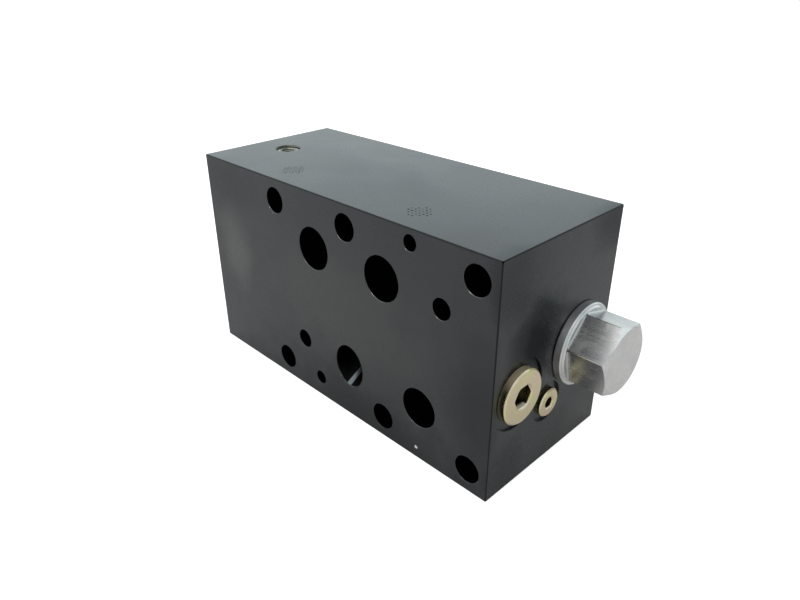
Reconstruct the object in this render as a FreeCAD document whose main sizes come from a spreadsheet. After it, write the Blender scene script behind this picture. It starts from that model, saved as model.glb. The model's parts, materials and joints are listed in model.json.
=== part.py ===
# Sandwich valve for a stack of hydraulic valves: a black steel block between a subplate
# and a directional valve, with a load-holding spool, a bypass check valve and three plugs.
# Millimetres. The block stands on its long lower face: X runs along it towards the end
# with the hexagon plug, Y runs from the valve side (front) to the subplate side (back)
# and Z is up. The origin is in the middle of the lower face.
import FreeCAD, Part
import Sketcher
import os
import re

doc = FreeCAD.newDocument("sandwich_valve")
sheet = doc.addObject("Spreadsheet::Sheet", "Sizes")

SIZES = [
    # The block. Its length, height and depth follow from the bolts and the bores.
    ("edge_break", 0.4, "bevel on the block's outer edges"),
    ("rim_break", 0.2, "bevel on the rims of the holes"),
    # The standard hole pattern: right and down from the upper left bolt
    ("bolt_left", 63.5, "left end to the left bolts"),
    ("bolt_right_end", 11.3, "right bolts to the end face with the plugs"),
    ("bolt_edge", 11.45, "lower bolts to the rest face, upper bolts to the upper face"),
    ("bolt_span_wide", 130.2, "bolt rectangle along X"),
    ("bolt_span_high", 92.1, "bolt rectangle along Z"),
    ("bolt_dia", 13.5, "clearance for a 12 mm screw"),
    ("upper_bolt_right", 53.2, "middle bolt of the upper row"),
    ("lower_bolt_right", 77.0, "middle bolt of the lower row"),
    ("upper_ports_down", 17.5, "row of the pump and tank ports"),
    ("lower_ports_down", 74.6, "row of the two service ports"),
    ("tank_right", 29.4, "tank port"),
    ("pump_right", 77.0, "pump port"),
    ("service_right", 53.2, "service port with the load-holding spool"),
    ("opposite_right", 100.8, "opposite service port, straight through"),
    ("upper_port_dia", 22.0, "pump and tank ports"),
    ("lower_port_dia", 20.0, "service ports"),
    ("pilot_right", 17.5, "pilot port, along X"),
    ("pilot_down", 73.0, "pilot port, along Z"),
    ("drain_right", 112.7, "drain port, along X"),
    ("drain_down", 19.0, "drain port, along Z"),
    ("pilot_dia", 10.0, "pilot and drain ports"),
    ("upper_pin_right", 94.5, "upper locating pin, along X"),
    ("upper_pin_up", 4.8, "upper locating pin, above the upper bolts"),
    ("lower_pin_right", 29.4, "lower locating pin, in the lower bolt row"),
    ("pin_hole_dia", 7.5, "hole on the valve side for the next valve's pin"),
    ("pin_hole_deep", 9.0, "its depth"),
    # Locating pins and face seals on the subplate side
    ("pin_dia", 6.0, "slotted spring pin, pressed into the block"),
    ("pin_spread", 0.1, "how far its free end springs open"),
    ("pin_bore", 3.6, "hollow of the spring pin"),
    ("pin_slot", 1.2, "slot along the spring pin"),
    ("pin_sunk", 9.0, "length of the pin in the block"),
    ("pin_proud", 7.0, "length of the pin that stands out"),
    ("pin_nose", 0.8, "bevel on the pin's ends"),
    ("face_seal_wire", 3.0, "section of the face seals"),
    ("face_seal_recess", 2.4, "depth of the recesses for the face seals"),
    ("face_seal_room", 0.4, "gap round a face seal in its recess"),
    ("main_seal_inner", 27.0, "inner diameter, four main ports"),
    ("pilot_seal_inner", 18.8, "inner diameter, pilot and drain ports"),
    # The slanted drillings of the service port
    ("front_drill_dia", 19.8, "slanted drilling from the valve side"),
    ("front_drill_tilt", 32.0, "degrees upwards from straight in"),
    ("front_drill_lift", 0.5, "its mouth above the port's centre"),
    ("back_mouth_deep", 12.0, "straight mouth on the subplate side"),
    ("back_drill_dia", 15.0, "slanted drilling from the subplate side"),
    ("back_drill_lean", 35.3, "degrees towards the hexagon plug"),
    ("back_drill_rise", 16.4, "degrees upwards"),
    ("back_drill_past", 3.4, "how far it runs past the bypass bore's axis"),
    # The long bore with the spool
    ("spool_behind_bypass", 44.2, "bore axis behind the bypass bore's axis"),
    ("spool_from_back", 25.2, "bore axis in front of the subplate side"),
    ("spool_above", 26.65, "bore axis above the row of the service ports"),
    ("spool_bore_dia", 24.0, "bore"),
    ("far_wall", 17.5, "wall left at the blind end"),
    ("valve_chamber_wide", 19.0, "chamber at the slanted drilling from the valve side"),
    ("valve_chamber_dia", 27.0, "its diameter"),
    ("load_chamber_ahead", 21.8, "load chamber's centre, from the service port"),
    ("load_chamber_wide", 15.0, "load chamber's width"),
    ("load_chamber_dia", 32.0, "its diameter"),
    ("pilot_chamber_dia", 28.0, "chamber behind the hexagon plug"),
    ("pilot_chamber_past", 3.5, "how far it runs past the spool's near end"),
    ("pilot_link_dia", 4.0, "slanted hole from that chamber to the opposite port"),
    ("pilot_link_tilt", 31.4, "degrees downwards"),
    ("pilot_link_up", 4.4, "its start above the bore axis"),
    ("pilot_link_ahead", 40.7, "its start ahead of the opposite port"),
    ("pilot_link_past", 2.4, "how far it runs into the opposite port"),
    # The spool and what moves with it
    ("running_gap", 0.02, "radial gap of the sliding pieces"),
    ("spool_stroke", 9.0, "travel towards the blind end"),
    ("spool_ahead", 51.8, "spool's near end, from the service port"),
    ("spool_behind", 36.2, "spool's shoulder at the spring, behind the port"),
    ("spool_overlap", 13.8, "sealing edge, ahead of the port"),
    ("spool_waist_wide", 22.0, "narrow part between the lands"),
    ("spool_waist_dia", 15.0, "its diameter"),
    ("notch_dia", 4.0, "metering notches in the sealing edge"),
    ("notch_count", 4.0, "number of notches"),
    ("balance_groove", 0.6, "width and depth of the balancing grooves"),
    ("balance_pitch", 7.0, "their spacing"),
    ("spigot_dia", 11.0, "spool's spigot through the spring guide"),
    ("spigot_long", 8.0, "its length"),
    ("spool_drill_dia", 6.0, "drilling along the spool"),
    ("cross_drill_dia", 4.0, "cross drilling at the service port"),
    ("orifice_long", 6.0, "orifice screw"),
    ("orifice_dia", 1.0, "its throttling hole"),
    ("orifice_socket", 3.0, "its hexagon socket, across flats"),
    ("guide_room", 0.5, "gap round the spring guide and the spring base"),
    ("guide_thick", 3.0, "their discs"),
    ("stop_slot", 2.0, "slot across the end of the spring base's stop rod"),
    ("spool_spring_wire", 3.2, "wire of the spool spring"),
    ("spool_spring_mean", 16.6, "its mean diameter"),
    ("spool_spring_turns", 7.0, "its turns"),
    ("contact_gap", 0.05, "gap between pieces that part when the valve works"),
    # The bypass check valve
    ("bypass_from_front", 17.6, "bore axis behind the valve side"),
    ("bypass_above", 19.4, "bore axis above the row of the service ports"),
    ("bypass_bore_dia", 15.0, "bore"),
    ("bypass_feed_dia", 11.0, "narrower far part that meets the slanted drilling"),
    ("bypass_feed_behind", 11.2, "its blind end, behind the service port"),
    ("bypass_seat_ahead", 11.8, "shoulder for the seat, ahead of the service port"),
    ("bypass_seat_long", 7.0, "seat ring"),
    ("bypass_seat_dia", 9.0, "hole through the seat ring"),
    ("bypass_seat_bevel", 1.5, "bevel of the seat"),
    ("poppet_nose", 4.0, "cone and neck in front of the guided skirt"),
    ("poppet_neck_dia", 11.4, "neck behind the cone"),
    ("poppet_skirt", 13.0, "guided skirt"),
    ("poppet_wall", 1.2, "wall of the hollow skirt"),
    ("poppet_window_dia", 3.0, "windows through the neck"),
    ("poppet_stroke", 4.0, "travel towards the plug"),
    ("bypass_spring_wire", 1.2, "wire of the bypass spring"),
    ("bypass_spring_turns", 8.0, "its turns"),
    ("spacer_ahead", 59.8, "far end of the spacer, ahead of the service port"),
    ("stop_stem_dia", 5.4, "spacer's stem that stops the poppet"),
    # The hexagon plug
    ("hex_flange_wide", 1.9, "flange outside the hexagon's turned blank"),
    ("hex_flange_thick", 4.1, "flange"),
    ("hex_flange_bevel", 0.5, "bevel on its outer edge"),
    ("hex_flats", 31.6, "hexagon, across flats"),
    ("hex_corner_trim", 0.29, "what the turned blank takes off across the corners"),
    ("hex_high", 19.3, "hexagon above the flange"),
    ("hex_face_inset", 1.0, "round end face inside the flats, across"),
    ("hex_foot", 0.7, "turned foot between hexagon and flange"),
    ("hex_foot_fill", 0.63, "bevel in the corner where a flat meets the foot"),
    ("hex_turn", 14.7, "degrees of a corner from straight up, to the valve side"),
    ("hex_thread_dia", 33.0, "thread"),
    ("hex_thread_long", 19.0, "shank under the flange"),
    ("stop_dia", 12.0, "stop spigot that the spool rests against"),
    # The plug of the bypass bore
    ("large_collar_dia", 26.0, "collar"),
    ("large_collar_thick", 4.0, "collar"),
    ("large_spot_dia", 34.0, "spot face"),
    ("large_spot_deep", 1.05, "its depth"),
    ("large_thread_dia", 20.96, "thread"),
    ("large_thread_long", 14.0, "shank under the collar"),
    ("large_socket", 10.0, "hexagon socket, across flats"),
    ("large_socket_deep", 7.0, "its depth"),
    # The gauge port and its plug
    ("gauge_before_spool", 21.2, "bore axis in front of the spool bore's axis"),
    ("gauge_above", 4.15, "bore axis above the row of the service ports"),
    ("gauge_dia", 5.0, "hole to the opposite port"),
    ("gauge_past", 5.3, "how far it runs into the opposite port"),
    ("small_collar_dia", 14.0, "collar"),
    ("small_collar_thick", 3.0, "collar"),
    ("small_spot_dia", 20.4, "spot face"),
    ("small_spot_deep", 1.25, "its depth"),
    ("small_thread_dia", 9.73, "thread"),
    ("small_thread_long", 8.0, "shank under the collar"),
    ("small_socket", 5.0, "hexagon socket, across flats"),
    ("small_socket_deep", 5.0, "its depth"),
    # The spring chamber's port in the upper face and its plug
    ("vent_left", 23.1, "port axis from the left end"),
    ("vent_before_spool", 22.5, "port axis in front of the spool bore's axis"),
    ("vent_thread_dia", 13.16, "thread"),
    ("vent_thread_deep", 13.0, "thread in the block"),
    ("vent_mouth_bevel", 0.67, "bevel of its mouth"),
    ("vent_drill_dia", 6.0, "slanted hole to the spring chamber"),
    ("vent_drill_tilt", 19.8, "degrees towards the subplate side"),
    ("vent_drill_offset", 2.9, "its start, from the port axis to the valve side"),
    ("vent_drill_past", 5.3, "how far it runs below the top of the spool bore"),
    ("vent_plug_sunk", 1.0, "plug's face below the upper face"),
    ("vent_plug_long", 10.0, "plug"),
    ("vent_socket", 7.0, "hexagon socket, across flats"),
    ("vent_socket_deep", 5.5, "its depth"),
    # Shared by the plugs and their seal rings
    ("thread_gap", 0.03, "radial gap that stands for the thread's play"),
    ("thread_short", 1.0, "room past a plug's inner end"),
    ("plug_bevel", 0.6, "bevels of the plugs"),
    ("socket_lead", 0.5, "bevel round a hexagon socket"),
    ("hex_seal_wire", 2.9, "seal ring of the hexagon plug"),
    ("large_seal_wire", 2.0, "seal ring of the large collar plug"),
    ("small_seal_wire", 1.4, "seal ring of the small collar plug"),
    ("seal_room", 0.05, "gap round a seal ring"),
]
for row, (name, value, meaning) in enumerate(SIZES, start=1):
    sheet.set("A%d" % row, name)
    sheet.set("B%d" % row, repr(value))
    sheet.set("C%d" % row, meaning)
    sheet.setAlias("B%d" % row, name)
doc.recompute()

NAMES = {name for name, _, _ in SIZES}
DRILL_TIP = "0.6"     # length of a drill's 118 degree tip, as a share of its radius
OUTSIDE = "1"         # how far a cut starts outside the face that it enters
SUBPARTS = []


def cells(text):
    """An expression with every size name turned into its cell of the sheet."""
    def swap(match):
        word = match.group(0)
        return "Sizes." + word if word in NAMES else word
    return re.sub(r"[a-z][a-z_]*", swap, str(text))


def value(text):
    """The number that an expression gives now."""
    return float(sheet.evalExpression(cells(text)))


def bind(thing, prop, text):
    thing.setExpression(prop, cells(text))


def place(thing, prop, where, turn=("0", "0")):
    """Binds a placement to three coordinates and to a yaw and a roll in degrees."""
    spot = "create(<<vector>>; %s; %s; %s)" % tuple(where)
    turned = "create(<<rotation>>; %s; 0; %s)" % turn
    bind(thing, prop, "create(<<placement>>; %s; %s)" % (spot, turned))


# The block's outer sizes and faces, as expressions.
LENGTH = "(bolt_left + bolt_span_wide + bolt_right_end)"
HEIGHT = "(bolt_span_high + 2 * bolt_edge)"
DEPTH = "(bypass_from_front + spool_behind_bypass + spool_from_back)"
END = LENGTH + " / 2"
FRONT = "-" + DEPTH + " / 2"
BACK = DEPTH + " / 2"


# Places in the block, as expressions. The bolt pattern is measured from its upper left
# bolt to the right and down, as the standard gives it.
def along(right):
    return "(bolt_left + %s - %s)" % (right, END)


def above(down):
    return "(bolt_edge + bolt_span_high - (%s))" % down


def behind(depth):
    return "(%s - %s)" % (depth, BACK)


def from_end(right):
    """Distance of a place in the pattern from the end face with the plugs."""
    return "(bolt_span_wide + bolt_right_end - %s)" % right


PORT_ROW = above("lower_ports_down")
SERVICE_X = along("service_right")
SERVICE_FROM_END = from_end("service_right")
SPOOL_DEPTH = "(bypass_from_front + spool_behind_bypass)"
SPOOL_AXIS = (behind(SPOOL_DEPTH), "(%s + spool_above)" % PORT_ROW)
BYPASS_AXIS = (behind("bypass_from_front"), "(%s + bypass_above)" % PORT_ROW)
GAUGE_AXIS = (behind(SPOOL_DEPTH + " - gauge_before_spool"), "(%s + gauge_above)" % PORT_ROW)
VENT_X = "(vent_left - %s)" % END
VENT_Y = behind(SPOOL_DEPTH + " - vent_before_spool")
HEX_BLANK = "(hex_flats / cos(30) - hex_corner_trim)"
HEX_FLANGE = "(%s + 2 * hex_flange_wide)" % HEX_BLANK
SPRING_GUIDE = "(spool_bore_dia - 2 * guide_room)"


def new_body(name):
    body = doc.addObject("PartDesign::Body", name)
    body.Label = name
    SUBPARTS.append(body)
    return body


def new_sketch(body, name, plane, where=("0", "0", "0"), turn=("0", "0")):
    sketch = body.newObject("Sketcher::SketchObject", name)
    found = [item for item in body.Origin.OriginFeatures if item.Role == plane]
    sketch.AttachmentSupport = (found[0], [""])
    sketch.MapMode = "FlatFace"
    place(sketch, "AttachmentOffset", where, turn)
    return sketch


def pin_point(sketch, line, end, point):
    """Fixes one end of a line at two expressions, measured from the sketch's origin."""
    for kind, text in zip(("DistanceX", "DistanceY"), point):
        rule = Sketcher.Constraint(kind, -1, 1, line, end, value(text))
        index = sketch.addConstraint(rule)
        bind(sketch, "Constraints[%d]" % index, text)


def outline(sketch, points):
    """A closed outline of straight lines through the points."""
    spots = [FreeCAD.Vector(value(u), value(v), 0) for u, v in points]
    first = sketch.GeometryCount
    for start, finish in zip(spots, spots[1:] + spots[:1]):
        sketch.addGeometry(Part.LineSegment(start, finish), False)
    count = len(points)
    for index in range(count):
        line = first + index
        after = first + (index + 1) % count
        sketch.addConstraint(Sketcher.Constraint("Coincident", line, 2, after, 1))
        pin_point(sketch, line, 1, points[index])


def ring(sketch, point, diameter):
    """A circle at two expressions, with a bound diameter."""
    centre = FreeCAD.Vector(value(point[0]), value(point[1]), 0)
    circle = Part.Circle(centre, FreeCAD.Vector(0, 0, 1), value(diameter) / 2)
    index = sketch.addGeometry(circle, False)
    pin_point(sketch, index, 3, point)
    rule = sketch.addConstraint(Sketcher.Constraint("Diameter", index, value(diameter)))
    bind(sketch, "Constraints[%d]" % rule, diameter)


def hexagon(sketch, flats, turn="0"):
    """A regular hexagon round the sketch's origin, across flats, with a corner at turn."""
    corners = []
    for index in range(6):
        angle = "(%d * 60 + %s)" % (index, turn)
        reach = "%s / 2 / cos(30)" % flats
        corners.append(("%s * cos%s" % (reach, angle), "%s * sin%s" % (reach, angle)))
    outline(sketch, corners)


def need_change(body, before, feature):
    """Stops if a feature left the body's volume as it was."""
    doc.recompute()
    if abs(body.Shape.Volume - before) < 1e-3:
        raise ValueError("%s changes nothing" % feature.Name)
    return feature


def pocket(body, sketch, deep=None, backwards=False, through=False):
    before = body.Shape.Volume
    cut = body.newObject("PartDesign::Pocket", sketch.Name + "_cut")
    cut.Profile = sketch
    cut.Reversed = backwards
    if through:
        cut.Type = "ThroughAll"
        cut.Midplane = True
    else:
        bind(cut, "Length", deep)
    return need_change(body, before, cut)


def drill(body, name, mouth, turn, steps, lead=OUTSIDE, tip=True):
    """A stepped round hole. Its axis leaves the mouth along the turned Y axis, steps are
    pairs of diameter and depth from the mouth, and lead is the part outside the face."""
    sketch = new_sketch(body, name, "XY_Plane", mouth, turn)
    points = [("0", "-(%s)" % lead)]
    reached = "-(%s)" % lead
    for diameter, deep in steps:
        points.append(("(%s) / 2" % diameter, reached))
        points.append(("(%s) / 2" % diameter, deep))
        reached = deep
    last = steps[-1][0]
    ending = "%s + (%s) / 2 * %s" % (reached, last, DRILL_TIP) if tip else reached
    points.append(("0", ending))
    outline(sketch, points)
    before = body.Shape.Volume
    hole = body.newObject("PartDesign::Groove", name + "_hole")
    hole.Profile = sketch
    hole.ReferenceAxis = (sketch, ["V_Axis"])
    hole.Angle = 360
    return need_change(body, before, hole)


def turn_solid(body, name, points):
    """A solid turned about the body's X axis, from points of axial place and radius."""
    sketch = new_sketch(body, name, "XY_Plane")
    outline(sketch, points)
    solid = body.newObject("PartDesign::Revolution", name + "_turned")
    solid.Profile = sketch
    solid.ReferenceAxis = (sketch, ["H_Axis"])
    solid.Angle = 360
    doc.recompute()
    return solid


def turn_groove(body, name, points):
    sketch = new_sketch(body, name, "XY_Plane")
    outline(sketch, points)
    before = body.Shape.Volume
    cut = body.newObject("PartDesign::Groove", name + "_groove")
    cut.Profile = sketch
    cut.ReferenceAxis = (sketch, ["H_Axis"])
    cut.Angle = 360
    return need_change(body, before, cut)


def spread(body, feature, count):
    """Copies a feature round the body's X axis."""
    axis = [item for item in body.Origin.OriginFeatures if item.Role == "X_Axis"][0]
    pattern = body.newObject("PartDesign::PolarPattern", feature.Name + "_pattern")
    pattern.Originals = [feature]
    pattern.Axis = (axis, [""])
    pattern.Angle = 360
    bind(pattern, "Occurrences", count)
    body.Tip = pattern
    doc.recompute()
    return pattern


def across_hole(body, name, axial, diameter, reach, count):
    """Radial holes spread round the X axis, from the axis out to the reach."""
    sketch = new_sketch(body, name, "XY_Plane")
    ring(sketch, (axial, "0"), diameter)
    before = body.Shape.Volume
    cut = body.newObject("PartDesign::Pocket", name + "_cut")
    cut.Profile = sketch
    bind(cut, "Length", reach)
    need_change(body, before, cut)
    return spread(body, cut, count)


def socket(body, name, face, flats, deep):
    """A hexagon socket with a bevelled mouth and a drilled bottom, in the end at face."""
    across = new_sketch(body, name, "YZ_Plane", ("0", "0", face))
    hexagon(across, flats)
    pocket(body, across, deep)
    corner = "%s / 2 / cos(30)" % flats
    turn_groove(body, name + "_lead", [
        ("%s + %s" % (face, OUTSIDE), "0"),
        ("%s + %s" % (face, OUTSIDE), "%s + socket_lead" % corner),
        (face, "%s + socket_lead" % corner),
        ("%s - socket_lead" % face, corner),
        ("%s - socket_lead" % face, "0"),
    ])
    turn_groove(body, name + "_bottom", [
        ("%s - %s + %s" % (face, deep, OUTSIDE), "0"),
        ("%s - %s + %s" % (face, deep, OUTSIDE), "%s / 2" % flats),
        ("%s - %s" % (face, deep), "%s / 2" % flats),
        ("%s - %s - %s / 2 * %s" % (face, deep, flats, DRILL_TIP), "0"),
    ])


def seal_recess(thread, wire):
    """Diameter of the recess in a port's mouth that holds a plug's seal ring."""
    return "(%s + %s + 2 * seal_room)" % (thread, wire)


def seal_ring(name, mean, wire, where, turn):
    """A round seal ring that lies about the turned Z axis."""
    torus = doc.addObject("Part::Torus", name)
    torus.Label = name
    bind(torus, "Radius1", "(%s) / 2" % mean)
    bind(torus, "Radius2", "(%s) / 2" % wire)
    place(torus, "Placement", where, turn)
    SUBPARTS.append(torus)


def coil(name, mean, wire, turns, start, length, axis_at):
    """A round wire wound about a line along X, from start over the length given."""
    spine = doc.addObject("Part::Helix", name + "_line")
    bind(spine, "Radius", "(%s) / 2" % mean)
    bind(spine, "Height", length)
    bind(spine, "Pitch", "(%s) / (%s)" % (length, turns))
    section = doc.addObject("Part::Circle", name + "_wire")
    bind(section, "Radius", "(%s) / 2" % wire)
    upright = "create(<<placement>>; create(<<vector>>; (%s) / 2; 0; 0); create(<<rotation>>; 0; 0; 90))"
    bind(section, "Placement", upright % mean)
    wound = doc.addObject("Part::Sweep", name)
    wound.Label = name
    wound.Sections = [section]
    wound.Spine = (spine, [])
    wound.Solid = True
    wound.Frenet = True
    spot = "create(<<vector>>; %s; %s; %s)" % (start, axis_at[0], axis_at[1])
    bind(wound, "Placement", "create(<<placement>>; %s; create(<<rotation>>; 0; 90; 0))" % spot)
    SUBPARTS.append(wound)


def valve_body():
    """The block with its ports, bores and seats."""
    body = new_body("valve_body")
    front_view = new_sketch(body, "block_front", "XZ_Plane")
    outline(front_view, [
        ("-" + END, "0"),
        (END, "0"),
        (END, HEIGHT),
        ("-" + END, HEIGHT),
    ])
    pad = body.newObject("PartDesign::Pad", "block_pad")
    pad.Profile = front_view
    pad.Midplane = True
    bind(pad, "Length", DEPTH)
    doc.recompute()
    bevel = body.newObject("PartDesign::Chamfer", "block_edges")
    bevel.Base = (pad, ["Edge%d" % (n + 1) for n in range(len(pad.Shape.Edges))])
    bind(bevel, "Size", "edge_break")
    doc.recompute()

    straight = new_sketch(body, "straight_holes", "XZ_Plane")
    for right, down, diameter in STRAIGHT_HOLES:
        ring(straight, (along(right), above(down)), diameter)
    pocket(body, straight, through=True)

    front = new_sketch(body, "valve_side_pin_holes", "XZ_Plane", ("0", "0", BACK))
    back = new_sketch(body, "subplate_side_pin_holes", "XZ_Plane", ("0", "0", FRONT))
    for right, down in PIN_SPOTS:
        ring(front, (along(right), above(down)), "pin_hole_dia")
        ring(back, (along(right), above(down)), "pin_dia")
    pocket(body, front, "pin_hole_deep")
    pocket(body, back, "pin_sunk", backwards=True)

    recesses = new_sketch(body, "face_seal_recesses", "XZ_Plane", ("0", "0", FRONT))
    for _, right, down, inner in FACE_SEALS:
        outer = "%s + 2 * face_seal_wire + 2 * face_seal_room" % inner
        ring(recesses, (along(right), above(down)), outer)
    pocket(body, recesses, "face_seal_recess", backwards=True)
    mouth = new_sketch(body, "service_mouth", "XZ_Plane", ("0", "0", FRONT))
    ring(mouth, (SERVICE_X, PORT_ROW), "lower_port_dia")
    pocket(body, mouth, "back_mouth_deep", backwards=True)

    # The slanted drillings of the service port: from the front to the valve chamber, and
    # from the back past the load chamber to the bypass bore.
    front_long = "(%s - valve_chamber_dia / 2) / cos(front_drill_tilt)" % SPOOL_DEPTH
    drill(body, "service_front", (SERVICE_X, FRONT, PORT_ROW + " + front_drill_lift"),
          ("0", "front_drill_tilt"), [("front_drill_dia", front_long)],
          lead="front_drill_dia / 2")
    slant = "cos(back_drill_lean) / cos(back_drill_rise)"
    back_long = "(%s - bypass_from_front) / %s + back_drill_past" % (DEPTH, slant)
    drill(body, "service_back", (SERVICE_X, BACK, PORT_ROW),
          ("180 + back_drill_lean", "back_drill_rise"),
          [("back_drill_dia", back_long)], lead="back_drill_dia / 2")

    # The long bore, from the end face inwards: seal recess, thread, pilot chamber, spool
    # bore with the load chamber and the valve chamber, spring chamber.
    load = "(%s - load_chamber_ahead)" % SERVICE_FROM_END
    drill(body, "spool_bore", (END,) + SPOOL_AXIS, ("90", "0"), [
        (seal_recess("hex_thread_dia", "hex_seal_wire"), "hex_seal_wire + 2 * seal_room"),
        ("hex_thread_dia", "hex_thread_long + thread_short"),
        ("pilot_chamber_dia", "%s - spool_ahead + pilot_chamber_past" % SERVICE_FROM_END),
        ("spool_bore_dia", "%s - load_chamber_wide / 2" % load),
        ("load_chamber_dia", "%s + load_chamber_wide / 2" % load),
        ("spool_bore_dia", "%s - valve_chamber_wide / 2" % SERVICE_FROM_END),
        ("valve_chamber_dia", "%s + valve_chamber_wide / 2" % SERVICE_FROM_END),
        ("spool_bore_dia", LENGTH + " - far_wall"),
    ], tip=False)
    link_from = (along("opposite_right") + " + pilot_link_ahead", SPOOL_AXIS[0],
                 SPOOL_AXIS[1] + " + pilot_link_up")
    link_drop = "spool_above + pilot_link_up - lower_port_dia / 2 + pilot_link_past"
    drill(body, "pilot_link", link_from, ("90", "-pilot_link_tilt"),
          [("pilot_link_dia", "(%s) / sin(pilot_link_tilt)" % link_drop)])

    drill(body, "bypass_bore", (END,) + BYPASS_AXIS, ("90", "0"), [
        ("large_spot_dia", "large_spot_deep"),
        (seal_recess("large_thread_dia", "large_seal_wire"),
         "large_spot_deep + large_seal_wire + 2 * seal_room"),
        ("large_thread_dia", "large_spot_deep + large_thread_long + thread_short"),
        ("bypass_bore_dia", "%s - bypass_seat_ahead" % SERVICE_FROM_END),
        ("bypass_feed_dia", "%s + bypass_feed_behind" % SERVICE_FROM_END),
    ])
    drill(body, "gauge_bore", (END,) + GAUGE_AXIS, ("90", "0"), [
        ("small_spot_dia", "small_spot_deep"),
        (seal_recess("small_thread_dia", "small_seal_wire"),
         "small_spot_deep + small_seal_wire + 2 * seal_room"),
        ("small_thread_dia", "small_spot_deep + small_thread_long + thread_short"),
        ("gauge_dia", from_end("opposite_right") + " - lower_port_dia / 2 + gauge_past"),
    ])

    drill(body, "vent_port", (VENT_X, VENT_Y, HEIGHT), ("0", "-90"), [
        ("vent_thread_dia", "vent_thread_deep"),
    ])
    mouth_bevel = new_sketch(body, "vent_mouth", "XY_Plane",
                             (VENT_X, VENT_Y, HEIGHT), ("0", "-90"))
    mouth_edge = "vent_thread_dia / 2 + vent_mouth_bevel"
    outline(mouth_bevel, [
        ("0", "-" + OUTSIDE),
        (mouth_edge, "-" + OUTSIDE),
        (mouth_edge, "0"),
        ("vent_thread_dia / 2", "vent_mouth_bevel"),
        ("0", "vent_mouth_bevel"),
    ])
    before = body.Shape.Volume
    bevelled = body.newObject("PartDesign::Groove", "vent_mouth_bevel")
    bevelled.Profile = mouth_bevel
    bevelled.ReferenceAxis = (mouth_bevel, ["V_Axis"])
    bevelled.Angle = 360
    need_change(body, before, bevelled)
    to_spool = "%s - %s - spool_bore_dia / 2" % (HEIGHT, SPOOL_AXIS[1])
    vent_long = "(%s + vent_drill_past) / cos(vent_drill_tilt)" % to_spool
    drill(body, "vent_drill", (VENT_X, VENT_Y + " - vent_drill_offset", HEIGHT),
          ("0", "vent_drill_tilt - 90"), [("vent_drill_dia", vent_long)])

    break_rims(body)


def break_rims(body):
    """Bevels the round rims of the straight holes on the valve side and subplate side."""
    face = value(BACK)
    rims = []
    for number, edge in enumerate(body.Shape.Edges, start=1):
        if not isinstance(edge.Curve, Part.Circle) or not edge.Closed:
            continue
        if abs(abs(edge.Curve.Center.y) - face) < 1e-6 and abs(edge.Curve.Axis.y) > 0.99:
            rims.append("Edge%d" % number)
    drilled = body.Tip
    bevel = body.newObject("PartDesign::Chamfer", "rim_bevels")
    bevel.Base = (drilled, rims)
    bind(bevel, "Size", "rim_break")
    doc.recompute()


STRAIGHT_HOLES = [
    ("0", "0", "bolt_dia"),
    ("upper_bolt_right", "0", "bolt_dia"),
    ("bolt_span_wide", "0", "bolt_dia"),
    ("0", "bolt_span_high", "bolt_dia"),
    ("lower_bolt_right", "bolt_span_high", "bolt_dia"),
    ("bolt_span_wide", "bolt_span_high", "bolt_dia"),
    ("pump_right", "upper_ports_down", "upper_port_dia"),
    ("tank_right", "upper_ports_down", "upper_port_dia"),
    ("opposite_right", "lower_ports_down", "lower_port_dia"),
    ("pilot_right", "pilot_down", "pilot_dia"),
    ("drain_right", "drain_down", "pilot_dia"),
]
PIN_SPOTS = [
    ("upper_pin_right", "-upper_pin_up"),
    ("lower_pin_right", "bolt_span_high"),
]
FACE_SEALS = [
    ("pump_port_seal", "pump_right", "upper_ports_down", "main_seal_inner"),
    ("tank_port_seal", "tank_right", "upper_ports_down", "main_seal_inner"),
    ("service_port_seal", "service_right", "lower_ports_down", "main_seal_inner"),
    ("opposite_port_seal", "opposite_right", "lower_ports_down", "main_seal_inner"),
    ("pilot_port_seal", "pilot_right", "pilot_down", "pilot_seal_inner"),
    ("drain_port_seal", "drain_right", "drain_down", "pilot_seal_inner"),
]


def face_seals():
    """The seal rings in their recesses, standing a little proud of the subplate side."""
    seat = BACK + " - face_seal_recess + face_seal_wire / 2"
    for name, right, down, inner in FACE_SEALS:
        seal_ring(name, "%s + face_seal_wire" % inner, "face_seal_wire",
                  (along(right), seat, above(down)), ("0", "90"))


def locating_pins():
    """Two slotted spring pins pressed into the subplate side."""
    free = "(pin_dia / 2 + pin_spread)"
    for name, (right, down) in zip(("upper_locating_pin", "lower_locating_pin"), PIN_SPOTS):
        body = new_body(name)
        turn_solid(body, name + "_outline", [
            ("-pin_sunk", "pin_bore / 2"),
            ("-pin_sunk", "pin_dia / 2 - pin_nose"),
            ("-pin_sunk + pin_nose", "pin_dia / 2"),
            ("0", "pin_dia / 2"),
            ("pin_nose", free),
            ("pin_proud - pin_nose", free),
            ("pin_proud", free + " - pin_nose"),
            ("pin_proud", "pin_bore / 2"),
        ])
        slot = new_sketch(body, name + "_slot", "YZ_Plane", ("0", "0", "pin_proud"))
        outline(slot, [
            ("-pin_slot / 2", "0"),
            ("pin_slot / 2", "0"),
            ("pin_slot / 2", "pin_dia"),
            ("-pin_slot / 2", "pin_dia"),
        ])
        pocket(body, slot, "pin_sunk + pin_proud")
        place(body, "Placement", (along(right), BACK, above(down)), ("90", "0"))


def plug_shank(thread, long, wire):
    """Points of a plug's shank below its collar: neck for the seal ring, then thread."""
    neck = "(%s / 2 - %s / 2 - seal_room)" % (thread, wire)
    neck_end = "-(%s + 2 * seal_room)" % wire
    full = "(%s / 2 - thread_gap)" % thread
    return [
        ("-(%s)" % long, full + " - plug_bevel"),
        ("-(%s) + plug_bevel" % long, full),
        (neck_end, full),
        (neck_end, neck),
        ("0", neck),
    ]


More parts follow.
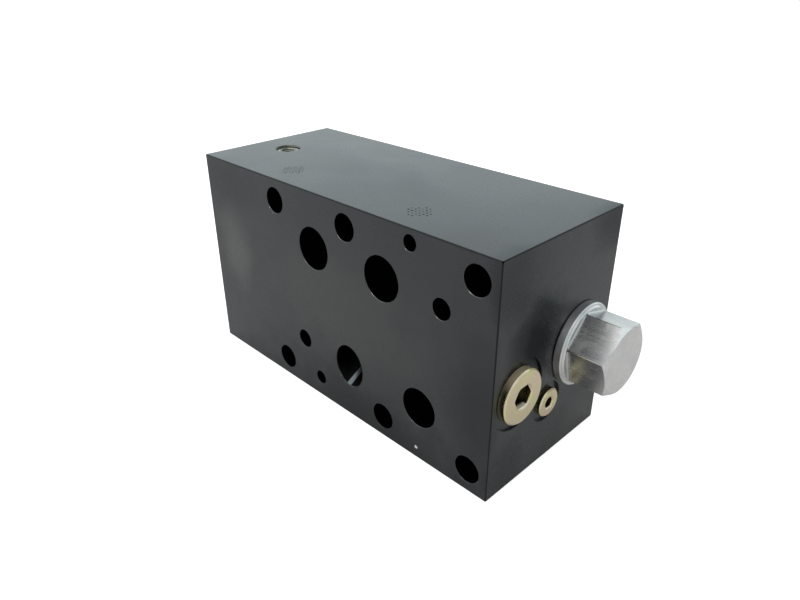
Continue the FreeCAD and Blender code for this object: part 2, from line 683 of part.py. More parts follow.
def plug_seal(name, thread, wire, seat, axis_at):
    """The ring round a plug's neck, just under the collar."""
    middle = "%s - %s / 2 - seal_room" % (seat, wire)
    seal_ring(name, thread, wire, (middle,) + axis_at, ("90", "90"))


def hexagon_plug():
    """Flanged plug of the spool bore, with the stop that the spool rests against."""
    body = new_body("hexagon_plug")
    top = "(hex_flange_thick + hex_high)"
    end_face = "(hex_flats - hex_face_inset)"
    bevel_drop = "(%s - %s) / 2 * tan(30)" % (HEX_BLANK, end_face)
    stop_end = "-(%s - spool_ahead - contact_gap)" % SERVICE_FROM_END
    points = [
        (stop_end, "0"),
        (stop_end, "stop_dia / 2 - plug_bevel"),
        (stop_end + " + plug_bevel", "stop_dia / 2"),
        ("-hex_thread_long", "stop_dia / 2"),
    ]
    points += plug_shank("hex_thread_dia", "hex_thread_long", "hex_seal_wire")
    points += [
        ("0", HEX_FLANGE + " / 2 - hex_flange_bevel"),
        ("hex_flange_bevel", HEX_FLANGE + " / 2"),
        ("hex_flange_thick - hex_flange_bevel", HEX_FLANGE + " / 2"),
        ("hex_flange_thick", HEX_FLANGE + " / 2 - hex_flange_bevel"),
        ("hex_flange_thick", HEX_BLANK + " / 2 + hex_foot"),
        ("hex_flange_thick + hex_foot", HEX_BLANK + " / 2"),
        ("%s - %s" % (top, bevel_drop), HEX_BLANK + " / 2"),
        (top, end_face + " / 2"),
        (top, "0"),
    ]
    turn_solid(body, "hexagon_plug_outline", points)
    flats = new_sketch(body, "hexagon_flats", "YZ_Plane", ("0", "0", top))
    ring(flats, ("0", "0"), "2 * " + HEX_FLANGE)
    hexagon(flats, "hex_flats", "90 + hex_turn")
    cut = pocket(body, flats, "hex_high - hex_foot")
    foot = body.newObject("PartDesign::Chamfer", "hexagon_foot")
    foot.Base = (cut, foot_edges(cut.Shape, value("hex_flange_thick + hex_foot")))
    bind(foot, "Size", "min(hex_foot_fill; (%s - hex_flats) / 4)" % HEX_BLANK)
    doc.recompute()
    place(body, "Placement", (END,) + SPOOL_AXIS)
    plug_seal("hexagon_plug_seal", "hex_thread_dia", "hex_seal_wire", END, SPOOL_AXIS)


def foot_edges(shape, axial):
    """Names of the straight edges where the hexagon's flats meet the flange."""
    found = []
    for number, edge in enumerate(shape.Edges, start=1):
        level = all(abs(spot.Point.x - axial) < 1e-4 for spot in edge.Vertexes)
        if level and isinstance(edge.Curve, Part.Line):
            found.append("Edge%d" % number)
    return found


def collar_plug(name, size, seat, axis_at):
    """Screw plug with a round collar and a hexagon socket; size is large or small."""
    body = new_body(name)
    top = size + "_collar_thick"
    thread = size + "_thread_dia"
    points = [("-%s_thread_long" % size, "0")]
    points += plug_shank(thread, size + "_thread_long", size + "_seal_wire")
    points += [
        ("0", "%s_collar_dia / 2 - plug_bevel / 2" % size),
        ("plug_bevel / 2", "%s_collar_dia / 2" % size),
        ("%s - plug_bevel" % top, "%s_collar_dia / 2" % size),
        (top, "%s_collar_dia / 2 - plug_bevel" % size),
        (top, "0"),
    ]
    turn_solid(body, name + "_outline", points)
    socket(body, name + "_socket", top, size + "_socket", size + "_socket_deep")
    place(body, "Placement", (seat,) + axis_at)
    plug_seal(name + "_seal", thread, size + "_seal_wire", seat, axis_at)


def recessed_plug():
    """Headless screw plug, sunk in the port of the upper face."""
    body = new_body("recessed_plug")
    full = "(vent_thread_dia / 2 - thread_gap)"
    turn_solid(body, "recessed_plug_outline", [
        ("-vent_plug_long", "0"),
        ("-vent_plug_long", full + " - plug_bevel"),
        ("-vent_plug_long + plug_bevel", full),
        ("-plug_bevel", full),
        ("0", full + " - plug_bevel"),
        ("0", "0"),
    ])
    socket(body, "recessed_plug_socket", "0", "vent_socket", "vent_socket_deep")
    where = (VENT_X, VENT_Y, HEIGHT + " - vent_plug_sunk")
    spot = "create(<<vector>>; %s; %s; %s)" % where
    bind(body, "Placement", "create(<<placement>>; %s; create(<<rotation>>; 0; -90; 0))" % spot)


def load_spool():
    """Sliding spool. Its local zero is at the centre of the service port."""
    body = new_body("load_spool")
    land = "(spool_bore_dia / 2 - running_gap)"
    shoulder = "-spool_behind"
    tail = "(-spool_behind - spigot_long)"
    waist_end = "(spool_overlap + spool_waist_wide)"
    turn_solid(body, "load_spool_outline", [
        (tail, "0"),
        (tail, "spigot_dia / 2 - plug_bevel"),
        (tail + " + plug_bevel", "spigot_dia / 2"),
        (shoulder, "spigot_dia / 2"),
        (shoulder, land + " - plug_bevel"),
        (shoulder + " + plug_bevel", land),
        ("spool_overlap", land),
        ("spool_overlap", "spool_waist_dia / 2"),
        (waist_end, "spool_waist_dia / 2"),
        (waist_end, land),
        ("spool_ahead - plug_bevel", land),
        ("spool_ahead", land + " - plug_bevel"),
        ("spool_ahead", "0"),
    ])
    for index in range(3):
        middle = "(-spool_behind + %d * balance_pitch)" % (index + 1)
        turn_groove(body, "balance_groove_%d" % (index + 1), [
            (middle + " - balance_groove / 2", land + " + " + OUTSIDE),
            (middle + " - balance_groove / 2", land + " - balance_groove"),
            (middle + " + balance_groove / 2", land + " - balance_groove"),
            (middle + " + balance_groove / 2", land + " + " + OUTSIDE),
        ])
    notch = new_sketch(body, "metering_notch", "XY_Plane", ("0", "0", land))
    ring(notch, ("spool_overlap", "0"), "notch_dia")
    before = body.Shape.Volume
    cut = body.newObject("PartDesign::Pocket", "metering_notch_cut")
    cut.Profile = notch
    bind(cut, "Length", "notch_dia / 2")
    need_change(body, before, cut)
    spread(body, cut, "notch_count")
    turn_groove(body, "spool_drilling", [
        (tail + " - " + OUTSIDE, "0"),
        (tail + " - " + OUTSIDE, "spool_drill_dia / 2"),
        ("0", "spool_drill_dia / 2"),
        ("spool_drill_dia / 2 * %s" % DRILL_TIP, "0"),
    ])
    across_hole(body, "spool_cross_drilling", "-cross_drill_dia / 2", "cross_drill_dia",
                "spool_bore_dia / 2", "2")
    place(body, "Placement", (SERVICE_X,) + SPOOL_AXIS)
    return body


def spool_orifice():
    """Throttling screw in the tail of the spool."""
    body = new_body("orifice_screw")
    full = "(spool_drill_dia / 2 - thread_gap)"
    turn_solid(body, "orifice_screw_outline", [
        ("0", "orifice_dia / 2"),
        ("0", full),
        ("orifice_long", full),
        ("orifice_long", "orifice_dia / 2"),
    ])
    hollow = new_sketch(body, "orifice_socket_shape", "YZ_Plane")
    hexagon(hollow, "orifice_socket")
    pocket(body, hollow, "orifice_long / 2", backwards=True)
    place(body, "Placement",
          (SERVICE_X + " - spool_behind - spigot_long",) + SPOOL_AXIS)


def spool_spring_set():
    """Spring guide on the spool, spring, and spring base at the blind end of the bore. The
    base's rod stands inside the spring and stops the spool's tail after its stroke."""
    guide = new_body("spring_guide")
    turn_solid(guide, "spring_guide_outline", [
        ("-guide_thick", "spigot_dia / 2 + thread_gap"),
        ("-guide_thick", SPRING_GUIDE + " / 2 - plug_bevel"),
        ("-guide_thick + plug_bevel", SPRING_GUIDE + " / 2"),
        ("0", SPRING_GUIDE + " / 2"),
        ("0", "spigot_dia / 2 + thread_gap"),
    ])
    place(guide, "Placement", (SERVICE_X + " - spool_behind",) + SPOOL_AXIS)
    floor = "(far_wall - %s)" % END
    tail = "(%s - spool_behind - spigot_long)" % SERVICE_X
    rod_end = "(%s - spool_stroke - contact_gap - %s)" % (tail, floor)
    base = new_body("spring_base")
    turn_solid(base, "spring_base_outline", [
        ("0", "0"),
        ("0", SPRING_GUIDE + " / 2"),
        ("guide_thick", SPRING_GUIDE + " / 2"),
        ("guide_thick", "spigot_dia / 2"),
        (rod_end + " - plug_bevel", "spigot_dia / 2"),
        (rod_end, "spigot_dia / 2 - plug_bevel"),
        (rod_end, "0"),
    ])
    slot = new_sketch(base, "stop_slot_shape", "YZ_Plane", ("0", "0", rod_end))
    outline(slot, [
        ("-spigot_dia", "-stop_slot / 2"),
        ("spigot_dia", "-stop_slot / 2"),
        ("spigot_dia", "stop_slot / 2"),
        ("-spigot_dia", "stop_slot / 2"),
    ])
    pocket(base, slot, "stop_slot")
    place(base, "Placement", (floor,) + SPOOL_AXIS)
    bearing = "(%s + guide_thick + contact_gap)" % floor
    reach = "(%s - spool_behind - guide_thick - %s - contact_gap)" % (SERVICE_X, bearing)
    coil("spool_spring", "spool_spring_mean", "spool_spring_wire", "spool_spring_turns",
         bearing + " + spool_spring_wire / 2", reach + " - spool_spring_wire", SPOOL_AXIS)


def bypass_check():
    """Seat ring, hollow poppet, spring and spacer of the check valve in parallel. The
    spacer's stem stands inside the spring and stops the poppet after its stroke."""
    seat_at = SERVICE_X + " + bypass_seat_ahead"
    seat = new_body("bypass_seat")
    turn_solid(seat, "bypass_seat_outline", [
        ("0", "bypass_seat_dia / 2"),
        ("0", "bypass_bore_dia / 2 - thread_gap"),
        ("bypass_seat_long", "bypass_bore_dia / 2 - thread_gap"),
        ("bypass_seat_long", "bypass_seat_dia / 2 + bypass_seat_bevel"),
        ("bypass_seat_long - bypass_seat_bevel", "bypass_seat_dia / 2"),
    ])
    place(seat, "Placement", (seat_at,) + BYPASS_AXIS)

    # The poppet's local zero is at the tip of its cone, which reaches into the seat ring.
    poppet = new_body("bypass_poppet")
    neck = "(poppet_neck_dia / 2)"
    skirt = "(bypass_bore_dia / 2 - running_gap)"
    hollow = "(%s - poppet_wall)" % skirt
    tip = "(bypass_seat_dia / 2 - bypass_seat_bevel)"
    shoulder = "(%s - %s + poppet_nose)" % (neck, tip)
    rim = "(%s + poppet_skirt)" % shoulder
    turn_solid(poppet, "bypass_poppet_outline", [
        ("0", "0"),
        ("0", tip),
        ("%s - %s" % (neck, tip), neck),
        (shoulder, neck),
        (shoulder, skirt),
        (rim, skirt),
        (rim, hollow),
        (shoulder, neck + " - poppet_wall / 2"),
        ("%s - poppet_nose / 2" % shoulder, neck + " - poppet_wall / 2"),
        ("%s - poppet_nose / 2" % shoulder, "0"),
    ])
    across_hole(poppet, "bypass_window", "%s - poppet_nose / 2" % shoulder,
                "poppet_window_dia", "bypass_bore_dia / 2", "4")
    poppet_at = "(%s + bypass_seat_long - 2 * bypass_seat_bevel + contact_gap * 2)" % seat_at
    place(poppet, "Placement", (poppet_at,) + BYPASS_AXIS)

    floor = "(%s + %s - poppet_nose / 2)" % (poppet_at, shoulder)
    spacer_at = "(%s + spacer_ahead)" % SERVICE_X
    stem_end = "(%s + poppet_stroke + contact_gap - %s)" % (floor, spacer_at)
    spacer = new_body("bypass_spacer")
    plug_end = "(large_spot_deep + large_thread_long)"
    long = "(%s - spacer_ahead - %s - seal_room)" % (SERVICE_FROM_END, plug_end)
    turn_solid(spacer, "bypass_spacer_outline", [
        (stem_end, "0"),
        (stem_end, "stop_stem_dia / 2 - plug_bevel"),
        (stem_end + " + plug_bevel", "stop_stem_dia / 2"),
        ("0", "stop_stem_dia / 2"),
        ("0", "bypass_bore_dia / 2 - thread_gap * 2"),
        (long, "bypass_bore_dia / 2 - thread_gap * 2"),
        (long, "0"),
    ])
    place(spacer, "Placement", (spacer_at,) + BYPASS_AXIS)

    start = "(%s + contact_gap)" % floor
    finish = "(%s - contact_gap)" % spacer_at
    mean = "(2 * %s - poppet_wall - bypass_spring_wire - 4 * contact_gap)" % neck
    coil("bypass_spring", mean, "bypass_spring_wire", "bypass_spring_turns",
         start + " + bypass_spring_wire / 2", "%s - %s - bypass_spring_wire" % (finish, start),
         BYPASS_AXIS)


def check_all():
    """Stops if any object failed or any sub-part has no valid solid."""
    doc.recompute()
    for thing in doc.Objects:
        if "Invalid" in thing.State or "Error" in thing.State:
            raise ValueError("%s failed: %s" % (thing.Name, thing.State))
    for part in SUBPARTS:
        shape = part.Shape
        if shape.isNull() or not shape.isValid() or len(shape.Solids) != 1:
            raise ValueError("%s has no single valid solid" % part.Label)


valve_body()
face_seals()
locating_pins()
hexagon_plug()
collar_plug("large_collar_plug", "large", END + " - large_spot_deep", BYPASS_AXIS)
collar_plug("small_collar_plug", "small", END + " - small_spot_deep", GAUGE_AXIS)
recessed_plug()
load_spool()
spool_orifice()
spool_spring_set()
bypass_check()
check_all()

os.makedirs("parts", exist_ok=True)
for part in SUBPARTS:
    part.Shape.exportStep(os.path.join("parts", part.Label + ".step"))
print("%d sub-parts" % len(SUBPARTS))
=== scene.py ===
import json
import math

import bpy
from mathutils import Matrix, Vector

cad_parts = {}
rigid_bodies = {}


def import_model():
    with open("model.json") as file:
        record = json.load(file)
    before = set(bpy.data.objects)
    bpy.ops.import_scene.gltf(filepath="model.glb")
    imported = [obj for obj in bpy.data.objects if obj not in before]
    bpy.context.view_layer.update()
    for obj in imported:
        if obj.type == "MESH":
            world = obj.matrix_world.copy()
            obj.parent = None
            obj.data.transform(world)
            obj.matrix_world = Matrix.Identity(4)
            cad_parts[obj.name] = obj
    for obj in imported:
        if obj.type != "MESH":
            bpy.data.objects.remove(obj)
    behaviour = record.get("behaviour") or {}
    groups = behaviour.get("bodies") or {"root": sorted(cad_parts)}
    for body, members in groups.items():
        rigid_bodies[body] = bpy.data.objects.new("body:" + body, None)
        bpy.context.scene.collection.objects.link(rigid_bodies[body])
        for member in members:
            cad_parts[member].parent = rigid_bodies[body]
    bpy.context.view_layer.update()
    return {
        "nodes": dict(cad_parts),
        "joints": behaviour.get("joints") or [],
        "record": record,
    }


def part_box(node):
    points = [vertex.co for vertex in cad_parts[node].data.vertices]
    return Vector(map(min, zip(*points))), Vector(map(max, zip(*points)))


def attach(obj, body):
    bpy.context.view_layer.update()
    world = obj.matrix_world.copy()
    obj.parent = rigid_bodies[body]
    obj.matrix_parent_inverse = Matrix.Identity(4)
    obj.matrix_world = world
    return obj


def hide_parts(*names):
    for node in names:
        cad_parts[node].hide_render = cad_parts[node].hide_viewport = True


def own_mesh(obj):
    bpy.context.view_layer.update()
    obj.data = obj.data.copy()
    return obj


# A black hydraulic sandwich plate on a white table. Metres. The front is the valve side,
# towards -Y, and the end with the plugs is towards +X.
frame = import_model()

# Places read from the frame
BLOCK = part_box("valve_body")
HEX_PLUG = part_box("hexagon_plug")
LARGE_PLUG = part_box("large_collar_plug")
SMALL_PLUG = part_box("small_collar_plug")
TOP_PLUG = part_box("recessed_plug")

# The camera, in the photograph's place. The sensor's width is in millimetres.
PHOTO_WIDTH = 800
FOCAL_PIXELS = 665.4
PRINCIPAL_SHIFT = (0.00775, -0.0130)
CAMERA_AT = Vector((0.2301, -0.2228, 0.2137))
CAMERA_RIGHT = Vector((0.7003, 0.7138, -0.0054))
CAMERA_UP = Vector((-0.3187, 0.3194, 0.8924))
SENSOR_WIDTH = 36.0
CLIP_NEAR = 0.01
CLIP_FAR = 50.0

# The table: its distance below the block's underside, its reach to each side, its colour, and
# the light it adds where the camera sees it
FLOOR_GAP = 0.0001
FLOOR_REACH = 12.0
FLOOR_PAPER = (0.80, 0.80, 0.80, 1)
FLOOR_GLOW = 0.75

# The room: its strength on matt surfaces, its tint in reflections, and its brightness there.
# Each ramp gives two values of the ray's direction, then the brightness at both.
ROOM_ON_MATT = 0.38
ROOM_TINT = (0.88, 0.975, 1.0, 1)
ROOM_FRONT_TO_BACK = (-0.35, 0.35, 0.60, 1.0)
ROOM_LOW_TO_HIGH = (0.22, 0.75, 1.15, 0.45)

# Softboxes: place, aim, size, power and colour
WHITE = (1.0, 1.0, 1.0)
COOL = (0.78, 0.93, 1.0)
SOFTBOXES = {
    "overhead": ((-0.6, -0.4, 1.3), (0, 0, 0.05), (1.8, 1.8), 10.8, WHITE),
    "behind_left": ((-1.5, 1.3, 1.1), (0, 0, 0.1), (1.8, 1.4), 2.0, COOL),
    "over_the_front": ((0.12, -1.25, 1.30), (0, 0, 0.05), (0.35, 0.35), 5.0, WHITE),
    "right_above": ((1.1, -0.25, 1.1), (0, 0, 0.05), (0.25, 0.25), 2.2, WHITE),
}

# Two faint round marks of peened dots on the upper face, and where each lies along X and Y.
# Dots are kept to a little past a mark's radius, and a random share scales each of them.
MARKS = {"near_mark": (-0.0430, -0.0275), "far_mark": (0.0455, -0.0270)}
MARK_RADIUS = 0.0056
MARK_SLACK = 1.03
DOT_SPACING = 0.0022
DOT_RADIUS = 0.00058
DOT_SHARES = (0.7, 1.1)
DOT_SIDES = 10
DOT_SEED = 4
DOT_PROUD = 0.000005

# Ramps over a noise: nearly all of its values lie in the wide range, and most in the core
WIDE = (0.3, 0.7)
CORE = (0.35, 0.65)

# How deep the bump of every finish is, and the factors that stretch drawn lines along X
BUMP_DEPTH = 0.00002
DRAWN_OUT = (0.03, 1.0, 1.0)

# Nicks and smears: the scale of the noise that bends their edges, how far it bends them as
# shares of their reach, and the shares of the bent reach at which they start and are whole
NICK_NOISE = 2400.0
NICK_RAGGED = (0.6, 1.3)
NICK_EDGE = (1.0, 0.7)
SMEAR_NOISE = 55.0
SMEAR_WAVY = (0.75, 1.25)
SMEAR_EDGE = (1.0, 0.15)

# The block's colours: its reflections' tint, its clouds, the rims of the front holes, the
# painted shade, the bare steel of a painted highlight streak, the vent port's mouth, and a nick
BLACK_SHEEN = (0.93, 0.98, 1.0, 1)
BLACKENED = [(0.019, 0.021, 0.023, 1), (0.027, 0.028, 0.030, 1)]
RIM_STEEL = (0.11, 0.11, 0.11, 1)
SHADE_BLACK = (0.004, 0.004, 0.004, 1)
STREAK_STEEL = (0.127, 0.141, 0.150, 1)
VENT_STEEL = (0.13, 0.13, 0.11, 1)
NICK_STEEL = (0.95, 0.95, 0.95, 1)

# The blue of a patch of painted sheen, as a share of its lightness
SHEEN_BLUE = 0.97

# The block's roughness along the clouds, what the grain changes in it, and what is added on
# the edges and in the holes
SATIN = (0.25, 0.31)
SATIN_GRAIN = (-0.02, 0.02)
DIM_ROUGHER = 0.2

# Metal of a nearly black colour hardly reflects, so the painted shade is metal: two shares of
# the painted shade, then how much of it is metal at both. The rims of the front holes are
# partly metal.
SHADE_METAL = (0.85, 0.97, 0.8, 1.0)
RIM_METAL = 0.6

# How wide the block's edges count
EDGE_WIDE = 0.0009

# Depths at which the block's other masks start and are whole: behind the ends and below the
# upper and lower faces, from the back, past the rims of the front holes, behind the front face,
# and below the upper face
OFF_SIDES = (0.0013, 0.0022)
OFF_BACK = (0.0026, 0.0040)
PAST_RIMS = (0.00020, 0.00050)
OFF_FRONT = (0.00001, 0.00006)
OFF_TOP = (0.00003, 0.00010)

# Small nicks in the black finish: place, radius, and how bright the steel shows in it
NICKS = [
    ((0.0607, -0.0435, 0.0060), 0.00110, 1.0),
    ((0.0978, -0.0435, 0.0087), 0.00030, 0.15),
    ((0.1025, -0.0388, 0.0149), 0.00032, 0.22),
    ((0.1025, -0.0405, 0.0101), 0.00030, 0.12),
    ((0.1025, 0.0016, 0.1116), 0.00035, 0.18),
    ((-0.0437, -0.0435, 0.0989), 0.00055, 0.14),
    ((-0.0416, -0.0435, 0.0963), 0.00055, 0.14),
]

# Paler patches of painted sheen in the black finish: centre, reach, and the paler colour's
# lightness
SHEEN_PATCHES = [
    ((-0.0810, -0.0435, 0.0650), (0.0230, 0.0100, 0.0290), 0.068),
    ((0.0100, -0.0435, 0.0600), (0.0800, 0.0100, 0.0460), 0.040),
    ((0.1025, 0.0300, 0.0060), (0.0100, 0.0300, 0.0260), 0.048),
]

# Patches of painted shade, dark and hardly reflecting: centre, reach, and how dark
PAINTED_SHADE_PATCHES = [
    ((0.0200, -0.0435, -0.0080), (0.1200, 0.0100, 0.0460), 0.60),
    ((0.1025, -0.0150, 0.0690), (0.0100, 0.0280, 0.0300), 0.97),
    ((0.1025, 0.0400, 0.1100), (0.0100, 0.0260, 0.0240), 0.75),
    ((0.1025, -0.0340, 0.1020), (0.0100, 0.0260, 0.0300), 0.45),
    ((0.1025, -0.0330, 0.0120), (0.0100, 0.0260, 0.0240), 0.45),
    ((-0.0850, -0.0435, 0.1040), (0.0420, 0.0100, 0.0220), 0.25),
    ((0.0980, -0.0435, 0.0400), (0.0300, 0.0100, 0.0500), 0.35),
    ((0.0010, -0.0080, 0.1150), (0.0460, 0.0360, 0.0100), 0.30),
]

# Bare steel: centre and reach of a strip on the slanted service port's lower wall, laid in the
# shape of a highlight streak as a painted highlight, and of the vent port's mouth, and the
# smear's strength at which the steel starts and is whole
STREAK_STRIP = ((0.0131, -0.0390, 0.0209), (0.0018, 0.0130, 0.0110))
STREAK_EDGE = (0.2, 0.5)
VENT_PORT = ((-0.0794, -0.0042, 0.1150), (0.0240, 0.0240, 0.0300))
VENT_EDGE = (0.2, 0.4)

# Depths behind the hexagon plug's end face: of the face's own finish, and of the flats. The
# flange's side starts a little behind the flats.
HEX_FACE_DEEP = 0.0001
HEX_FLAT_LONG = 0.0186
FLANGE_EDGE = 0.0005

# The hexagon plug's colours: two clouds, and the tool lines. The lines are calmer on the
# flats: a ramp over the drawn lines gives two of their values, then what these become.
MACHINED = [(0.70, 0.71, 0.71, 1), (0.80, 0.79, 0.77, 1)]
TOOL_LINES = (0.52, 0.52, 0.52, 1)
CALMER = (0.25, 0.75, 0.38, 0.62)

# Ramps over tool lines: two of their values, then how strongly their colour shows at both
STEEL_LINED = (0.35, 0.75, 0.0, 0.4)
ZINC_LINED = (0.40, 0.75, 0.0, 0.4)

# The hexagon plug's roughness along its lines, what the clouds add to it, and the roughness
# and the metal of its flange's side
STEEL_ROUGH = (0.20, 0.32)
CLOUD_ROUGHER = (0.5, 0.7, 0.0, 0.05)
FLANGE_ROUGH = 0.34
FLANGE_METAL = 0.95

# The flats darken towards the flange: the colour they darken to, how strongly at the flange,
# and the share of the flats' length left as it is
FLAT_DARKENING = (0.10, 0.11, 0.11, 1)
DARKENING_AT_FLANGE = 0.34
UNDARKENED_SHARE = 0.1

# Depth behind a screw plug's outer face at which the collar's side starts
COLLAR_EDGE = 0.0004

# Heights on the collar's side at which dust starts and is whole, as shares of its radius
DUST_LINE = (0.45, 0.95)

# The zinc's roughness along its lines, and on the side of a collar
ZINC_ROUGH = (0.22, 0.34)
COLLAR_ROUGH = 0.16

# Zinc finishes: two cloud colours, the turning lines, and the painted shade in the socket
GOLD = [(0.83, 0.78, 0.43, 1), (0.87, 0.71, 0.55, 1), (0.60, 0.52, 0.33, 1),
        (0.06, 0.05, 0.03, 1)]
OLIVE = [(0.34, 0.35, 0.30, 1), (0.26, 0.27, 0.22, 1), (0.18, 0.18, 0.15, 1),
         (0.02, 0.02, 0.015, 1)]

# Inside a socket: how strongly its painted shade shows, the lowest flat's painted highlight, a
# lighter band at a set depth, and how matt both are
SOCKET_SHADE = 0.85
PAINTED_LIT_FLAT = (1.0, 0.97, 0.80, 1)
SOCKET_BAND = (0.62, 0.64, 0.56, 1)
MATT = 0.9

# A socket's masks along its depth: where they start and are whole. The band has two ends.
SOCKET_DEEP = (-0.0003, -0.0018)
FLAT_MOUTH = (-0.0030, -0.0018)
BAND_OUTER = (-0.0008, -0.0010)
BAND_INNER = (-0.0018, -0.0015)

# Shares of a socket's radius: where its mask is whole, and below which its lowest flat lies
SOCKET_WHOLE = 0.96
LOWEST_FLAT = -0.80

# A screw plug's axis, and the turn that lays X along it, out of the socket
ALONG_X = 0
UPRIGHT = 2
TURNS = {ALONG_X: (0, 0, 0), UPRIGHT: (0, -math.pi / 2, 0)}

# The zinc plugs: material, box, axis, the socket's radius, colours, how far the socket's
# lighter band shows, and how dusty the top of the collar's side is. Where the band doesn't
# show, the lowest flat gets its painted highlight.
ZINC_PLUGS = {
    "large_collar_plug": ("zinc_large_plug", LARGE_PLUG, ALONG_X, 0.0061, GOLD, 0.0, 0.40),
    "small_collar_plug": ("zinc_small_plug", SMALL_PLUG, ALONG_X, 0.0033, GOLD, 0.0, 0.0),
    "recessed_plug": ("zinc_recessed_plug", TOP_PLUG, UPRIGHT, 0.0046, OLIVE, 1.0, 0.0),
}

# Sockets that share a name in the Mix and Random Value nodes, by number
MIX_FIRST = 6
MIX_SECOND = 7
MIX_COLOUR = 2
RANDOM_LOW = 2
RANDOM_HIGH = 3
RANDOM_NUMBER = 1


def set_camera():
    """The photograph's camera, with its measured axes squared up."""
    data = bpy.data.cameras.new("camera")
    data.sensor_width = SENSOR_WIDTH
    data.lens = data.sensor_width * FOCAL_PIXELS / PHOTO_WIDTH
    data.shift_x, data.shift_y = PRINCIPAL_SHIFT
    data.clip_start = CLIP_NEAR
    data.clip_end = CLIP_FAR
    camera = bpy.data.objects.new("camera", data)
    bpy.context.scene.collection.objects.link(camera)
    backward = CAMERA_RIGHT.cross(CAMERA_UP).normalized()
    upward = backward.cross(CAMERA_RIGHT).normalized()
    sideways = upward.cross(backward)
    turn = Matrix((sideways, upward, backward)).transposed().to_4x4()
    camera.matrix_world = Matrix.Translation(CAMERA_AT) @ turn
    bpy.context.scene.camera = camera


def middle(box):
    return (box[0] + box[1]) / 2


def wire(tree, value, socket):
    """Links a socket, or sets a plain value."""
    if isinstance(value, bpy.types.NodeSocket):
        tree.links.new(value, socket)
    else:
        socket.default_value = value


def node(tree, kind, sockets=None, **settings):
    """A new node with its settings, and its sockets wired by name or number."""
    made = tree.nodes.new(kind)
    for name, setting in settings.items():
        setattr(made, name, setting)
    for name, value in (sockets or {}).items():
        wire(tree, value, made.inputs[name])
    return made


def sums(tree, operation, first, *others):
    """A Math operation on one value, or on several taken one after another."""
    result = first
    for other in others or (0.0,):
        made = node(tree, "ShaderNodeMath", {0: result, 1: other}, operation=operation)
        result = made.outputs[0]
    return result


def all_but(tree, share):
    """What a share leaves of the whole."""
    return sums(tree, "SUBTRACT", 1.0, share)


def vectors(tree, operation, *values):
    """A Vector Math node's result."""
    made = node(tree, "ShaderNodeVectorMath", dict(enumerate(values)), operation=operation)
    return made.outputs["Value" if operation == "LENGTH" else "Vector"]


def parts_of(tree, vector):
    """A vector's X, Y and Z."""
    return node(tree, "ShaderNodeSeparateXYZ", {"Vector": vector}).outputs


def from_axis(tree, parts):
    """How far a place lies from the X axis."""
    across = node(tree, "ShaderNodeCombineXYZ", {"Y": parts["Y"], "Z": parts["Z"]})
    return vectors(tree, "LENGTH", across.outputs[0])


def remap(tree, value, low, high, start=0.0, end=1.0, smooth=False):
    """A ramp from start at low to end at high, level beyond both."""
    made = node(tree, "ShaderNodeMapRange", {
        "Value": value, "From Min": low, "From Max": high, "To Min": start, "To Max": end,
    })
    if smooth:
        made.interpolation_type = "SMOOTHSTEP"
    return made.outputs["Result"]


def noise(tree, place, scale, detail=2.0, roughness=0.5, **settings):
    """A Noise texture's value."""
    made = node(tree, "ShaderNodeTexNoise", {
        "Vector": place, "Scale": scale, "Detail": detail, "Roughness": roughness,
    }, **settings)
    return made.outputs["Fac"]


def blend(tree, share, first, second):
    """Mixes two colours."""
    made = node(tree, "ShaderNodeMix", {
        "Factor": share, MIX_FIRST: first, MIX_SECOND: second,
    }, data_type="RGBA")
    return made.outputs[MIX_COLOUR]


def blend_values(tree, share, first, second):
    """Mixes two numbers."""
    made = node(tree, "ShaderNodeMix", {"Factor": share, "A": first, "B": second})
    return made.outputs["Result"]


def shader_group(name, outputs, **inputs):
    """An empty shader node group that takes a Position and the inputs, with their defaults."""
    tree = bpy.data.node_groups.new(name, "ShaderNodeTree")
    for label, value in {"Position": (0, 0, 0), **inputs}.items():
        kind = "NodeSocketVector" if isinstance(value, tuple) else "NodeSocketFloat"
        socket = tree.interface.new_socket(label, in_out="INPUT", socket_type=kind)
        socket.default_value = value
    for label in outputs:
        tree.interface.new_socket(label, in_out="OUTPUT", socket_type="NodeSocketFloat")
    entry = tree.nodes.new("NodeGroupInput")
    leave = tree.nodes.new("NodeGroupOutput")
    return tree, entry.outputs, leave.inputs


def mottle_group():
    """Large soft clouds and fine grain, as every finish has in some measure."""
    tree, given, result = shader_group("mottle", ["Cloud", "Grain"], Clouds=20.0, Grain=2500.0)
    clouds = node(tree, "ShaderNodeTexNoise", {
        "Vector": given["Position"], "Scale": given["Clouds"], "Detail": 3.0,
        "Roughness": 0.55, "Distortion": 0.6,
    })
    wire(tree, clouds.outputs["Fac"], result["Cloud"])
    wire(tree, noise(tree, given["Position"], given["Grain"], roughness=0.6), result["Grain"])
    return tree


def turning_group():
    """Fine lathe lines round the X axis: rings on end faces, bands on the sides."""
    tree, given, result = shader_group("turning", ["Lines"], Pitch=3000.0)
    parts = parts_of(tree, given["Position"])
    flat = node(tree, "ShaderNodeCombineXYZ", {"X": from_axis(tree, parts), "Y": parts["X"]})
    lines = noise(tree, flat.outputs[0], given["Pitch"], detail=3.0, roughness=0.7,
                  noise_dimensions="2D")
    wire(tree, lines, result["Lines"])
    return tree


def drawn_group():
    """Straight lines along the X axis, as a drawn or milled bar has."""
    tree, given, result = shader_group("drawn_lines", ["Lines"], Pitch=2500.0)
    stretched = vectors(tree, "MULTIPLY", given["Position"], DRAWN_OUT)
    lines = noise(tree, stretched, given["Pitch"], detail=3.0, roughness=0.65)
    wire(tree, lines, result["Lines"])
    return tree


